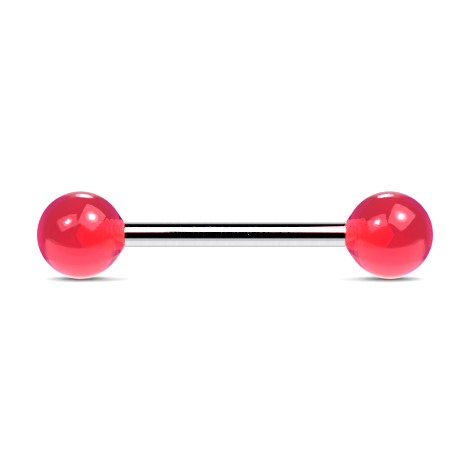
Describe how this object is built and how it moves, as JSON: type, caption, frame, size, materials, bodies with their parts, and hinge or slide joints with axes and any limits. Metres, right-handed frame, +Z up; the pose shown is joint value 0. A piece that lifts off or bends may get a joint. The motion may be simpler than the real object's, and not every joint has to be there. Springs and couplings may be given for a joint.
{
  "type": "tongue barbell",
  "caption": "Straight steel barbell with a ball of clear pink-red acrylic screwed on each end.",
  "frame": {"origin": "on the surface that the two balls rest on, under the middle of the bar", "axes": "+X along the bar, +Z up"},
  "size_m": [0.0252, 0.0056, 0.0056],
  "materials": {
    "polished_steel": "mirror-polished stainless steel rod",
    "tinted_acrylic": "clear acrylic tinted pink-red all through, glossy"
  },
  "bodies": {
    "bar": {"bar": "polished_steel"},
    "ball_left": {"ball_left": "tinted_acrylic"},
    "ball_right": {"ball_right": "tinted_acrylic"}
  },
  "joints": [
    {"name": "ball_left_unscrew", "type": "slide", "parent": "bar", "child": "ball_left", "axis": [-1, 0, 0], "range_m": [0, 0.016]},
    {"name": "ball_right_unscrew", "type": "slide", "parent": "bar", "child": "ball_right", "axis": [1, 0, 0], "range_m": [0, 0.016]}
  ]
}
